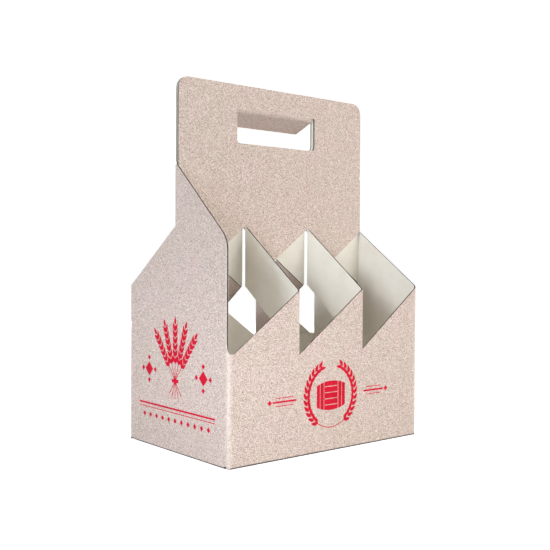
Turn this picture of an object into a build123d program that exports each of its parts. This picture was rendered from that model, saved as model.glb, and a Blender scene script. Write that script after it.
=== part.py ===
"""Six-pack bottle carrier, cut from one sheet of thin corrugated board, folded and glued.

Millimetres, +Z up. The origin is the middle of the base, on the surface that the carrier
stands on. +X runs along the front from left to right, and -Y is the front.

The carrier looks the same after half a turn about +Z. So one half of the sheet is made first:
the front, the left end, the two front dividers and the front handle layer. The other half is
that half turned round, and only two corners and the hand hole differ.
"""

import os
from math import cos, radians, sin

from build123d import *

# Board
board_t = 1.5
glue_gap = 0.3

# Overall size
width = 200.0
depth = 138.0
height = 291.5

# Inner radius of each kind of fold
corner_inner_r = 0.5
base_inner_r = 0.5
handle_inner_r = 0.5
divider_inner_r = 0.5

# Cells: distance between the two rows of dividers, and the slit between neighbours
cell_pitch = 67.8
divider_gap = 0.6

# Saw-tooth top of the front, and the zigzag lower edge of the handle
valley_z = 78.6
tooth_rise = 48.6
handle_valley_z = 127.8
notch_rise = 4.0

# High half of the end
end_top_z = 222.5
end_top_flat = 1.6
shoulder_slope = 0.89
shoulder_r = 16.0
end_foot_rise = 12.5

# Handle
handle_corner_r = 9.5
handle_edge_inset = 1.5
fold_relief = 2.8
glue_inset = 6.0

# Hand hole, and the flap that is cut from it
hole_width = 84.0
hole_height = 26.9
hole_low_r = 3.5
hole_top_r = 1.3
hinge_drop = 21.1
hinge_gap = 0.25
flap_left_slot = 0.5
flap_right_slot = 2.5
flap_end_gap = 2.3
flap_end_r = 1.5
flap_side_gap = 0.6
flap_lift_room = 0.9
flap_open_angle = 68.5

# Base flaps
base_gap = 0.6
base_taper = 1.0
end_flap_length = 48.0
end_flap_inset = 2.5
end_flap_dip = 2.5
end_flap_ramp = 7.0
end_flap_clear = 2.0

# Glued corner lap; the high half of the end beside it is set back from the corner
lap_length = 14.0
lap_edge_inset = 1.0
lap_setback = 7.0

# Print: ink, rules and diamonds
ink_t = 0.12
rule_bold = 1.4
rule_fine = 0.6
diamond = 3.0

# Print: grains, in the wreath and in the sheaf
grain_length = 7.0
grain_breadth = 3.0
grain_widest = 0.35
grain_taper = 0.7
grain_lean = 24.0
grain_offset = 0.8
front_print_z = 44.0
wreath_r = 25.0
wreath_grains = 12
wreath_start = -58.0
wreath_end = 58.0
wreath_stem = 40.0
rule_start = 36.0
rule_length = 23.0
rule_spacing = 3.0
cask_length = 30.0
cask_belly = 23.0
cask_end = 17.0
hoop_places = (-11.5, -7.5, 7.5, 11.5)
stave_places = (-7.2, -2.4, 2.4, 7.2)
stave_line = 13.5
end_print_z = 56.0
stalk_length = 13.0
stalk_foot = 14.0
ear_count = 5
ear_grains = 6
ear_lean = 19.0
grain_pitch = 5.0
tie_width = 9.0
tie_height = 2.6
base_rule_drop = 22.0
base_rule_length = 106.0
diamond_pitch = 9.0
diamond_count = 11
star_x = 38.0
star_rise = 6.0
star_size = 8.0
star_spread = 9.0

# Worked out from the sizes above
half_w = width / 2
half_d = depth / 2
corner_r = corner_inner_r + board_t
base_r = base_inner_r + board_t
handle_r = handle_inner_r + board_t
divider_r = divider_inner_r + board_t
tip_z = valley_z + tooth_rise
notch_z = valley_z + notch_rise
end_foot_z = valley_z + end_foot_rise
handle_peak_z = handle_valley_z + tooth_rise
end_low_z = tip_z + (handle_peak_z - tip_z) * corner_r / half_d
layer_front_y = -(glue_gap / 2 + board_t)
layer_mid_y = -(glue_gap + board_t) / 2
front_folds = [side * cell_pitch / 2 + divider_gap / 2 + board_t for side in (-1, 1)]
tooth_starts = [-half_w] + front_folds
tooth_ends = front_folds + [half_w]
wall_x = half_w - corner_r
wall_y = half_d - corner_r
lap_y = half_d - board_t - glue_gap
lap_wall_y = lap_y - corner_r
turn_x = half_w - handle_r
turn_y = -layer_front_y - handle_r
handle_edge_x = half_w - handle_edge_inset
hinge_z = height - hinge_drop
hole_top_z = hinge_z + board_t / 2 + hinge_gap
hole_low_z = hole_top_z - hole_height
flap_width = hole_width - flap_left_slot - flap_right_slot
flap_x = (flap_left_slot - flap_right_slot) / 2
flap_length = hinge_z - hole_low_z - flap_end_gap
rear_hole_width = flap_width + 2 * flap_side_gap
rear_hole_height = hinge_z + board_t / 2 + flap_lift_room - hole_low_z
end_flap_z = board_t + glue_gap + board_t / 2
end_flap_half = wall_y - end_flap_inset
base_flap_x = half_w - end_flap_dip - end_flap_ramp - end_flap_clear
overlap = 0.05


def tooth_z(x, tooth, low):
    """Height of the sloping edge of a tooth at x; low is the height at the tooth's start."""
    start = tooth_starts[tooth]
    return low + tooth_rise * (x - start) / (tooth_ends[tooth] - start)


def front_outline():
    """Front panel's outline in X and Z, with three teeth."""
    points = [(-wall_x, base_r), (-wall_x, tooth_z(-wall_x, 0, valley_z))]
    for tooth in (0, 1):
        fold_x = tooth_ends[tooth] - divider_r
        points.append((fold_x, tooth_z(fold_x, tooth, valley_z)))
        points.append((fold_x, valley_z))
        points.append((tooth_ends[tooth], valley_z))
    points.append((wall_x, tooth_z(wall_x, 2, valley_z)))
    points.append((wall_x, base_r))
    return points


def handle_outline():
    """Front handle layer's outline in X and Z, without the hand hole."""
    points = [(-handle_edge_x, tooth_z(-handle_edge_x, 0, handle_valley_z))]
    for tooth in (0, 1):
        fold_x = tooth_ends[tooth]
        points.append((fold_x - board_t, handle_peak_z))
        points.append((fold_x + divider_inner_r, handle_peak_z))
        points.append((fold_x + divider_inner_r, handle_valley_z))
    points.append((turn_x, tooth_z(turn_x, 2, handle_valley_z)))
    points.append((turn_x, end_top_z + fold_relief))
    points.append((handle_edge_x, end_top_z + fold_relief))
    points.append((handle_edge_x, height))
    points.append((-handle_edge_x, height))
    return points


def end_outline(edge_y, foot_z):
    """Left end's outline in Y and Z: high from the edge at edge_y to the handle, and low behind."""
    flat_y = turn_y - end_top_flat
    knee_z = end_top_z - shoulder_slope * (flat_y + edge_y)
    return [
        (-lap_wall_y, base_r),
        (-lap_wall_y, foot_z),
        (-edge_y, foot_z),
        (-edge_y, knee_z),
        (flat_y, end_top_z),
        (turn_y, end_top_z),
        (turn_y, handle_peak_z),
        (wall_y, end_low_z),
        (wall_y, base_r),
    ]


def fold_section(outer_r):
    """A quarter ring of board round the local origin, in the quarter where x and y are below 0."""
    Circle(outer_r)
    Circle(outer_r - board_t, mode=Mode.SUBTRACT)
    Rectangle(2 * outer_r, outer_r, align=(Align.CENTER, Align.MIN), mode=Mode.SUBTRACT)
    Rectangle(outer_r, 2 * outer_r, align=(Align.MIN, Align.CENTER), mode=Mode.SUBTRACT)


# Front panel, with its fold into the base and its base flap
with BuildPart() as front_panel:
    with BuildSketch(Plane.XZ.offset(half_d - board_t)):
        Polygon(*front_outline(), align=None)
    extrude(amount=board_t)
    base_fold = Plane(origin=(-wall_x, -half_d + base_r, base_r), x_dir=(0, 1, 0), z_dir=(1, 0, 0))
    with BuildSketch(base_fold):
        fold_section(base_r)
    extrude(amount=2 * wall_x)
    with BuildSketch():
        flap_root = -half_d + base_r
        Polygon(
            (-wall_x, flap_root),
            (-base_flap_x, flap_root + base_taper),
            (-base_flap_x, -base_gap / 2),
            (base_flap_x, -base_gap / 2),
            (base_flap_x, flap_root + base_taper),
            (wall_x, flap_root),
            align=None,
        )
    extrude(amount=board_t)

# Ends, with their base flaps, which dip at the root and lie on the front's and rear's flaps.
# Both are drawn as the left end; the second one, beside the lap, is turned round later.
ends = []
for edge_y, foot_z in ((wall_y, end_foot_z), (wall_y - lap_setback, valley_z)):
    with BuildPart() as end:
        with BuildSketch(Plane.YZ.offset(-half_w)):
            Polygon(*end_outline(edge_y, foot_z), align=None)
            at_edge = vertices().filter_by(lambda v: abs(v.X + edge_y) < overlap).sort_by(Axis.Y)
            fillet(at_edge[-1], radius=shoulder_r)
        extrude(amount=board_t)
        with BuildSketch(Plane.XZ.offset(-end_flap_half)):
            middle = board_t / 2
            ramp_x = -half_w + base_r + end_flap_dip
            with BuildLine():
                FilletPolyline(
                    (-half_w + middle, base_r + overlap),
                    (-half_w + middle, middle),
                    (ramp_x, middle),
                    (ramp_x + end_flap_ramp, end_flap_z),
                    (-half_w + end_flap_length, end_flap_z),
                    radius=base_r - middle,
                )
            trace(line_width=board_t)
        extrude(amount=2 * end_flap_half)
    ends.append(end.part)

# Rear left corner fold, whose top slopes on from the rear's last tooth into the end
with BuildPart() as rear_left_fold:
    corner = Plane(origin=(-wall_x, wall_y, 0), x_dir=(0, -1, 0), z_dir=(0, 0, 1))
    with BuildSketch(corner):
        fold_section(corner_r)
    extrude(amount=end_low_z)
    with BuildSketch(Plane.XZ.offset(-half_d)):
        low_z = tooth_z(wall_x, 2, valley_z)
        Polygon((-half_w, 0), (-half_w, end_low_z), (-wall_x, low_z), (-wall_x, 0), align=None)
    extrude(amount=depth, mode=Mode.INTERSECT)

# Fold between the left end and the rear handle layer
with BuildPart() as handle_fold:
    turn = Plane(origin=(-turn_x, turn_y, handle_peak_z), x_dir=(0, -1, 0), z_dir=(0, 0, 1))
    with BuildSketch(turn):
        fold_section(handle_r)
    extrude(amount=end_top_z - handle_peak_z)

# Front dividers: each turns in from a tooth of the front and out again into the handle
with BuildPart() as front_dividers:
    for fold_x in front_folds:
        with BuildSketch():
            with BuildLine():
                FilletPolyline(
                    (fold_x - divider_r - overlap, -half_d + board_t / 2),
                    (fold_x - board_t / 2, -half_d + board_t / 2),
                    (fold_x - board_t / 2, layer_mid_y),
                    (fold_x + divider_inner_r + overlap, layer_mid_y),
                    radius=divider_r - board_t / 2,
                )
            trace(line_width=board_t)
        extrude(amount=height)
    with BuildSketch(Plane.YZ.offset(-half_w)):
        Polygon(
            (-half_d, valley_z),
            (-half_d, tooth_z(tooth_ends[0] - divider_r, 0, valley_z)),
            (-half_d + divider_r, tip_z),
            (layer_front_y, handle_peak_z),
            (0, handle_peak_z),
            (0, handle_valley_z),
            (layer_front_y, handle_valley_z),
            (-half_d + divider_r, valley_z),
            align=None,
        )
    extrude(amount=width, mode=Mode.INTERSECT)

# Front handle layer, still without its hand hole
with BuildPart() as handle_layer:
    with BuildSketch(Plane.XZ.offset(glue_gap / 2)):
        Polygon(*handle_outline(), align=None)
        fillet(vertices().group_by(Axis.Y)[-1], radius=handle_corner_r)
    extrude(amount=board_t)

# Front left corner fold, cut down to the notch beside the high half of the end, and the
# front's edge beside it, which is flat at the notch's height
with BuildPart() as front_left_fold:
    with BuildSketch():
        with BuildLine():
            FilletPolyline(
                (-wall_x + overlap, -half_d + board_t / 2),
                (-half_w + board_t / 2, -half_d + board_t / 2),
                (-half_w + board_t / 2, -lap_wall_y),
                radius=corner_r - board_t / 2,
            )
        trace(line_width=board_t)
    extrude(amount=end_foot_z)
    with BuildSketch(Plane.XZ.offset(-half_d)):
        Polygon(
            (-half_w, 0),
            (-half_w, end_foot_z),
            (-half_w + board_t, end_foot_z),
            (-wall_x, notch_z),
            (-wall_x + overlap, notch_z),
            (-wall_x + overlap, 0),
            align=None,
        )
    extrude(amount=depth, mode=Mode.INTERSECT)
    with BuildSketch(Plane.XZ.offset(half_d - board_t)):
        notch_end = -half_w + notch_rise * (tooth_ends[0] - tooth_starts[0]) / tooth_rise
        Polygon((-wall_x, valley_z), (-wall_x, notch_z), (notch_end, notch_z), align=None)
    extrude(amount=board_t)

# Rear right corner: the right end turns in and is glued inside the rear panel's edge
with BuildPart() as corner_lap:
    with BuildSketch():
        with BuildLine():
            FilletPolyline(
                (half_w - board_t / 2, lap_wall_y - overlap),
                (half_w - board_t / 2, lap_y - board_t / 2),
                (wall_x - lap_length, lap_y - board_t / 2),
                radius=corner_r - board_t / 2,
            )
        trace(line_width=board_t)
    extrude(amount=valley_z)
    with BuildSketch(Plane.XZ.offset(-half_d)):
        Polygon(
            (half_w, base_r),
            (half_w, valley_z),
            (wall_x - lap_length, valley_z),
            (wall_x - lap_length, 2 * base_r),
            (wall_x, base_r),
            align=None,
        )
    extrude(amount=depth, mode=Mode.INTERSECT)
    with BuildSketch(Plane.XZ.offset(-half_d)):
        with Locations((wall_x, 0)):
            Rectangle(corner_r - lap_edge_inset, valley_z, align=(Align.MIN, Align.MIN))
    extrude(amount=board_t)

# Glue: thin films in the seams, set back from the edges of the board
with BuildPart() as glue:
    with BuildSketch(Plane.XZ.offset(-glue_gap / 2)):
        with Locations((0, handle_peak_z + glue_inset)):
            film_height = height - handle_peak_z - 2 * glue_inset
            Rectangle(2 * (handle_edge_x - glue_inset), film_height, align=(Align.CENTER, Align.MIN))
        with Locations((0, hole_low_z + hole_height / 2)):
            Rectangle(
                hole_width + 2 * glue_inset,
                hole_height + 2 * glue_inset,
                mode=Mode.SUBTRACT,
            )
    extrude(amount=glue_gap)
    with BuildSketch(Plane.XY.offset(board_t)):
        film_end = half_w - end_flap_length + glue_inset
        film_length = base_flap_x - glue_inset - film_end
        film_x = film_end + film_length / 2
        with GridLocations(2 * film_x, half_d, 2, 2):
            Rectangle(film_length, half_d - 4 * glue_inset)
    extrude(amount=glue_gap)
    with BuildSketch(Plane.XZ.offset(-lap_y - glue_gap)):
        with Locations((wall_x - lap_length / 2, valley_z / 2)):
            Rectangle(lap_length - glue_inset, valley_z - 3 * glue_inset)
    extrude(amount=glue_gap)

# Whole sheet, with the hand hole cut through each layer of the handle
with BuildPart() as carrier:
    for half_turn, end in zip((0, 180), ends):
        add(front_panel.part, rotation=(0, 0, half_turn))
        add(end, rotation=(0, 0, half_turn))
        add(rear_left_fold.part, rotation=(0, 0, half_turn))
        add(handle_fold.part, rotation=(0, 0, half_turn))
        add(front_dividers.part, rotation=(0, 0, half_turn))
        add(handle_layer.part, rotation=(0, 0, half_turn))
    add(front_left_fold.part)
    add(corner_lap.part)
    add(glue.part)
    for middle_x, layer_width, layer_height, side in (
        (0, hole_width, hole_height, 1),
        (flap_x, rear_hole_width, rear_hole_height, -1),
    ):
        with BuildSketch(Plane.XZ):
            with Locations((middle_x, hole_low_z)):
                Rectangle(layer_width, layer_height, align=(Align.CENTER, Align.MIN))
            fillet(vertices().group_by(Axis.Y)[0], radius=hole_low_r)
            fillet(vertices().group_by(Axis.Y)[-1], radius=hole_top_r)
        extrude(amount=side * corner_r, mode=Mode.SUBTRACT)

# Flap of the hand hole, cut from the front layer and swung back through the rear one
flap_plane = Plane(
    origin=(flap_x, layer_mid_y, hinge_z),
    x_dir=(1, 0, 0),
    z_dir=(0, -cos(radians(flap_open_angle)), -sin(radians(flap_open_angle))),
)
with BuildPart() as grip_flap:
    with BuildSketch(flap_plane.offset(-board_t / 2)):
        Rectangle(flap_width, flap_length, align=(Align.CENTER, Align.MAX))
        fillet(vertices().group_by(Axis.Y)[0], radius=flap_end_r)
    extrude(amount=board_t)
    with BuildSketch(Plane.YZ.offset(flap_x - flap_width / 2)):
        with Locations((layer_mid_y, hinge_z)):
            Circle(board_t / 2)
    extrude(amount=flap_width)


def grain_pair(x, y, heading):
    """Places of two grains that start at x, y and lean out to either side of the heading."""
    places = []
    for lean in (-grain_lean, grain_lean):
        reach = radians(heading + lean)
        start = (x + grain_offset * cos(reach), y + grain_offset * sin(reach))
        places.append(Location(start, heading + lean))
    return places


# A six-sided grain that points along its local x
grain_outline = [
    (0, 0),
    (grain_widest * grain_length, grain_breadth / 2),
    (grain_taper * grain_length, grain_taper * grain_breadth / 2),
    (grain_length, 0),
    (grain_taper * grain_length, -grain_taper * grain_breadth / 2),
    (grain_widest * grain_length, -grain_breadth / 2),
]

# Motif: a wreath of two ears of grain, open at the top
wreath_places = []
for step in range(wreath_grains):
    turn_angle = wreath_start + (wreath_end - wreath_start) * step / (wreath_grains - 1)
    place_x = wreath_r * cos(radians(turn_angle))
    place_y = wreath_r * sin(radians(turn_angle))
    wreath_places += grain_pair(place_x, place_y, 90 + turn_angle)
    wreath_places += grain_pair(-place_x, place_y, 90 - turn_angle)
with BuildSketch() as wreath:
    with Locations(*wreath_places):
        Polygon(*grain_outline, align=None)
    with BuildLine():
        CenterArc((0, 0), wreath_r, -90 - wreath_stem, 2 * wreath_stem)
    trace(line_width=rule_fine)

# Motif: a cask on its side, with bare lines between its staves and at its hoops
with BuildSketch() as cask:
    with BuildLine():
        upper = ThreePointArc(
            (-cask_length / 2, cask_end / 2),
            (0, cask_belly / 2),
            (cask_length / 2, cask_end / 2),
        )
        Line(upper @ 1, (cask_length / 2, -cask_end / 2))
        lower = ThreePointArc(
            (cask_length / 2, -cask_end / 2),
            (0, -cask_belly / 2),
            (-cask_length / 2, -cask_end / 2),
        )
        Line(lower @ 1, upper @ 0)
    make_face()
    for hoop in hoop_places:
        with Locations((hoop, 0)):
            Rectangle(rule_fine, cask_belly, mode=Mode.SUBTRACT)
    for stave in stave_places:
        with Locations((0, stave)):
            Rectangle(stave_line, rule_fine, mode=Mode.SUBTRACT)

# Motif: a sheaf of five ears on stalks that are tied at the local origin
ear_length = ear_grains * grain_pitch
stalk_places = []
sheaf_places = []
for ear in range(-(ear_count // 2), ear_count // 2 + 1):
    heading = 90 - ear * ear_lean
    reach_x = cos(radians(heading))
    reach_y = sin(radians(heading))
    stalk_places.append(Location((-stalk_foot * reach_x, -stalk_foot * reach_y), heading))
    for step in range(ear_grains):
        along = stalk_length + step * grain_pitch
        sheaf_places += grain_pair(along * reach_x, along * reach_y, heading)
    ear_tip = stalk_length + ear_length
    sheaf_places.append(Location((ear_tip * reach_x, ear_tip * reach_y), heading))
with BuildSketch() as sheaf:
    with Locations(*stalk_places):
        Rectangle(stalk_foot + stalk_length + ear_length, rule_fine, align=(Align.MIN, Align.CENTER))
    with Locations(*sheaf_places):
        Polygon(*grain_outline, align=None)
    Rectangle(tie_width, tie_height)

# Ink on the front: the wreath round the cask, between rules
with BuildPart() as front_print:
    with BuildSketch(Plane(origin=(0, -half_d, front_print_z), x_dir=(1, 0, 0), z_dir=(0, -1, 0))):
        add(wreath.sketch)
        add(cask.sketch)
        for side in (-1, 1):
            rule_mid = side * (rule_start + rule_length / 2)
            with Locations((rule_mid, 0)):
                Rectangle(rule_length, rule_bold)
            with Locations((rule_mid, rule_spacing), (rule_mid, -rule_spacing)):
                Rectangle(rule_length - 2 * rule_spacing, rule_fine)
            with Locations((side * (rule_start + rule_length + diamond), 0)):
                Rectangle(diamond, diamond, rotation=45)
    extrude(amount=ink_t)

# Ink on the left end: the sheaf between two stars of diamonds, over a rule and a row of diamonds
with BuildPart() as left_end_print:
    with BuildSketch(Plane(origin=(-half_w, 0, end_print_z), x_dir=(0, -1, 0), z_dir=(-1, 0, 0))):
        add(sheaf.sketch)
        with Locations((0, -base_rule_drop)):
            Rectangle(base_rule_length, rule_bold)
        with Locations((0, -base_rule_drop - rule_spacing)):
            Rectangle(base_rule_length, rule_fine)
        with Locations((0, -base_rule_drop - 3 * rule_spacing)):
            with GridLocations(diamond_pitch, 1, diamond_count, 1):
                Rectangle(diamond, diamond, rotation=45)
        with Locations((-star_x, star_rise), (star_x, star_rise)):
            Rectangle(star_size, star_size, rotation=45)
            with PolarLocations(star_spread, 4):
                Rectangle(diamond, diamond, rotation=45)
    extrude(amount=ink_t)

# The same ink on the rear and on the right end
with BuildPart() as rear_print:
    add(front_print.part, rotation=(0, 0, 180))

with BuildPart() as right_end_print:
    add(left_end_print.part, rotation=(0, 0, 180))

carrier.part.label = "carrier"
grip_flap.part.label = "grip_flap"
front_print.part.label = "front_print"
rear_print.part.label = "rear_print"
left_end_print.part.label = "left_end_print"
right_end_print.part.label = "right_end_print"

os.makedirs("parts", exist_ok=True)
export_step(carrier.part, "parts/carrier.step")
export_step(grip_flap.part, "parts/grip_flap.step")
export_step(front_print.part, "parts/front_print.step")
export_step(rear_print.part, "parts/rear_print.step")
export_step(left_end_print.part, "parts/left_end_print.step")
export_step(right_end_print.part, "parts/right_end_print.step")
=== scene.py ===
"""Looks of the six-pack bottle carrier: one sheet of thin corrugated board, folded and glued.

The sheet is laid out as its printed side alone, from flat panels and spun folds, in millimetres.
It then gets the board's thickness, which adds the inner side and the cut edges, and is scaled to
metres. The two halves of the sheet are the same but for one corner and the hand hole.
"""

import logging
import math
from collections.abc import Callable
from dataclasses import dataclass, field
from enum import Enum, IntEnum

import bmesh
import bpy
from mathutils import Matrix, Vector
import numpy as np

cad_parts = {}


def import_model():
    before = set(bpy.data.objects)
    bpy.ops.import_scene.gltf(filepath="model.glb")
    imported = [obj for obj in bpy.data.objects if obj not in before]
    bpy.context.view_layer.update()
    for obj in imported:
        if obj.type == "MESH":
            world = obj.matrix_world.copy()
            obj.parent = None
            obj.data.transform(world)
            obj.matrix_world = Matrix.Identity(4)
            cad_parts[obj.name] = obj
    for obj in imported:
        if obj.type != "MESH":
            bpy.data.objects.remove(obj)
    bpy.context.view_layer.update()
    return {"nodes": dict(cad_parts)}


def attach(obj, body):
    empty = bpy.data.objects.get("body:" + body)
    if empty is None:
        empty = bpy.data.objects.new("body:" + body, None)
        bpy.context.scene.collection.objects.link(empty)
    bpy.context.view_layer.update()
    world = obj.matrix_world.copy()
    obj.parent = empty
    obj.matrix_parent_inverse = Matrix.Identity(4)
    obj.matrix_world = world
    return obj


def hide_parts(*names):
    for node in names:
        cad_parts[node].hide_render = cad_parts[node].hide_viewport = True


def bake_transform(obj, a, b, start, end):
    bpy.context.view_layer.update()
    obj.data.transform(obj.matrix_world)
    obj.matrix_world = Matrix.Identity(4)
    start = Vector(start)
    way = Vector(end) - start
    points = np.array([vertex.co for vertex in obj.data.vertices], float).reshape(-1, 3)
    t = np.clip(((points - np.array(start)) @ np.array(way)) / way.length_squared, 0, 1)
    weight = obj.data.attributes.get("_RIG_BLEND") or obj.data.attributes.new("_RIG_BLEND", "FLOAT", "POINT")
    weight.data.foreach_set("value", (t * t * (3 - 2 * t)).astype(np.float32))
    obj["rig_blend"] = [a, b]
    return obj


LOG = logging.getLogger("six_pack_carrier")
MM = 0.001
FLUTE_PITCH = 1.5 * MM
QUARTER_TURN = 90.0
X_AXIS = Vector((1, 0, 0))
Y_AXIS = Vector((0, 1, 0))
Z_AXIS = Vector((0, 0, 1))

Point = tuple[float, float, float]
Tint = tuple[float, float, float]
Colour = tuple[float, float, float, float]

# The mix node has sockets for each type of value, and these are the ones for colours
MIX_SHARE, MIX_FIRST, MIX_SECOND = 0, 6, 7
MIX_RESULT = 2

WHITE: Colour = (1.0, 1.0, 1.0, 1.0)

# The profile at which a bevel is an arc of a circle
ROUND_PROFILE = 0.5


def srgb(red: int, green: int, blue: int) -> Colour:
    """Turns a screen colour into the linear one that a shader takes, by the sRGB curve.

    Args:
        red: Red, from 0 to 255.
        green: Green, from 0 to 255.
        blue: Blue, from 0 to 255.

    Returns:
        The linear colour with full opacity.
    """
    shares = [channel / 255 for channel in (red, green, blue)]
    lit = [s / 12.92 if s <= 0.04045 else ((s + 0.055) / 1.055) ** 2.4 for s in shares]
    return (lit[0], lit[1], lit[2], 1.0)


class BoardSide(IntEnum):
    """Material slot of each side of the board."""

    PRINTED = 0
    LINER = 1
    CUT = 2


class Half(Enum):
    """Half of the sheet, by the angle that it is turned about the vertical axis."""

    FRONT = 0.0
    REAR = 180.0


class Attribute(Enum):
    """Values that the sheet carries on its vertices for its materials."""

    DEPTH = "depth"
    CREASE = "crease"
    CONTACT_SHADE = "contact_shade"


# Finishes


@dataclass(frozen=True)
class Grain:
    """Fractal noise: features to the metre, number of finer layers and their weight."""

    scale: float
    detail: float
    roughness: float = 0.5


@dataclass(frozen=True)
class Span:
    """A range of a value, and the range that it is mapped to."""

    low: float
    high: float
    to_low: float = 0.0
    to_high: float = 1.0


@dataclass
class Shader:
    """A material under construction, with short ways to add and join its nodes."""

    material: bpy.types.Material
    nodes: bpy.types.Nodes = field(init=False)
    links: bpy.types.NodeLinks = field(init=False)
    surface: bpy.types.Node = field(init=False)
    place: bpy.types.NodeSocket = field(init=False)

    def __post_init__(self) -> None:
        """Clears the material down to one shader and its output."""
        self.material.use_nodes = True
        self.nodes = self.material.node_tree.nodes
        self.links = self.material.node_tree.links
        self.nodes.clear()
        output = self.nodes.new("ShaderNodeOutputMaterial")
        self.surface = self.nodes.new("ShaderNodeBsdfPrincipled")
        self.links.new(self.surface.outputs["BSDF"], output.inputs["Surface"])
        self.place = self.nodes.new("ShaderNodeTexCoord").outputs["Object"]

    def join(self, value: object, socket: bpy.types.NodeSocket) -> None:
        """Feeds a socket from another node's output, or sets its constant.

        Args:
            value: An output socket, a number or a colour.
            socket: The input to feed.
        """
        if isinstance(value, bpy.types.NodeSocket):
            self.links.new(value, socket)
        else:
            socket.default_value = value

    def noise(self, grain: Grain) -> bpy.types.NodeSocket:
        """Adds fractal noise in the object's own space.

        Args:
            grain: Form of the noise.

        Returns:
            The noise value, from 0 to 1.
        """
        node = self.nodes.new("ShaderNodeTexNoise")
        self.join(self.place, node.inputs["Vector"])
        node.inputs["Scale"].default_value = grain.scale
        node.inputs["Detail"].default_value = grain.detail
        node.inputs["Roughness"].default_value = grain.roughness
        return node.outputs["Fac"]

    def spread(self, value: bpy.types.NodeSocket, span: Span) -> bpy.types.NodeSocket:
        """Maps a range of a value to another range, smoothly and with ends held.

        Args:
            value: The value to map.
            span: Both ranges.

        Returns:
            The mapped value.
        """
        node = self.nodes.new("ShaderNodeMapRange")
        node.interpolation_type = "SMOOTHSTEP"
        self.join(value, node.inputs["Value"])
        node.inputs["From Min"].default_value = span.low
        node.inputs["From Max"].default_value = span.high
        node.inputs["To Min"].default_value = span.to_low
        node.inputs["To Max"].default_value = span.to_high
        return node.outputs["Result"]

    def maths(self, operation: str, first: object, second: object = 0.0) -> bpy.types.NodeSocket:
        """Adds one step of arithmetic.

        Args:
            operation: Name of the math node's operation.
            first: First value or socket.
            second: Second value or socket.

        Returns:
            The result.
        """
        node = self.nodes.new("ShaderNodeMath")
        node.operation = operation
        self.join(first, node.inputs[0])
        self.join(second, node.inputs[1])
        return node.outputs["Value"]

    def mix(self, share: object, first: object, second: object) -> bpy.types.NodeSocket:
        """Mixes two colours.

        Args:
            share: How much of the second colour shows.
            first: First colour or socket.
            second: Second colour or socket.

        Returns:
            The mixed colour.
        """
        node = self.nodes.new("ShaderNodeMix")
        node.data_type = "RGBA"
        self.join(share, node.inputs[MIX_SHARE])
        self.join(first, node.inputs[MIX_FIRST])
        self.join(second, node.inputs[MIX_SECOND])
        return node.outputs[MIX_RESULT]

    def attribute(self, attribute: Attribute) -> bpy.types.NodeSocket:
        """Reads a value that the mesh carries on its vertices."""
        node = self.nodes.new("ShaderNodeAttribute")
        node.attribute_name = attribute.value
        return node.outputs["Fac"]

    def wave(self) -> bpy.types.NodeSocket:
        """Gives the wave of the board's flutes, from -1 to 1, along X and Y alike."""
        node = self.nodes.new("ShaderNodeSeparateXYZ")
        self.join(self.place, node.inputs["Vector"])
        along = self.maths("ADD", node.outputs["X"], node.outputs["Y"])
        return self.maths("SINE", self.maths("MULTIPLY", along, 2 * math.pi / FLUTE_PITCH))

    def from_corner(self, half_width: float, half_depth: float) -> bpy.types.NodeSocket:
        """Gives the distance along a wall from the nearest upright corner of a box.

        Args:
            half_width: Half of the box's width in metres.
            half_depth: Half of the box's depth in metres.

        Returns:
            The distance in metres.
        """
        node = self.nodes.new("ShaderNodeSeparateXYZ")
        self.join(self.place, node.inputs["Vector"])
        across = self.maths("SUBTRACT", half_width, self.maths("ABSOLUTE", node.outputs["X"]))
        back = self.maths("SUBTRACT", half_depth, self.maths("ABSOLUTE", node.outputs["Y"]))
        return self.maths("ADD", across, back)

    def bump(
        self, height: bpy.types.NodeSocket, depth: float, under: bpy.types.NodeSocket | None = None
    ) -> bpy.types.NodeSocket:
        """Adds fine relief.

        Args:
            height: The relief, from 0 to 1.
            depth: Height of the relief in metres.
            under: Relief that this one lies on.

        Returns:
            The bent normal.
        """
        node = self.nodes.new("ShaderNodeBump")
        node.inputs["Strength"].default_value = 1.0
        node.inputs["Distance"].default_value = depth
        self.join(height, node.inputs["Height"])
        if under is not None:
            self.join(under, node.inputs["Normal"])
        return node.outputs["Normal"]

    def ribs(self, depth: float) -> bpy.types.NodeSocket:
        """Adds the relief of the flutes as they show through a liner.

        Args:
            depth: Height of the relief in metres.

        Returns:
            The bent normal.
        """
        return self.bump(self.spread(self.wave(), Span(-1.0, 1.0)), depth)

    def finish(
        self, tint: object, roughness: object, specular: float, relief: bpy.types.NodeSocket
    ) -> bpy.types.Material:
        """Feeds the surface.

        Args:
            tint: Its colour.
            roughness: Its roughness.
            specular: Level of what it mirrors.
            relief: Its bent normal.

        Returns:
            The finished material.
        """
        self.join(tint, self.surface.inputs["Base Color"])
        self.join(roughness, self.surface.inputs["Roughness"])
        self.join(specular, self.surface.inputs["Specular IOR Level"])
        self.join(relief, self.surface.inputs["Normal"])
        return self.material


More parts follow.
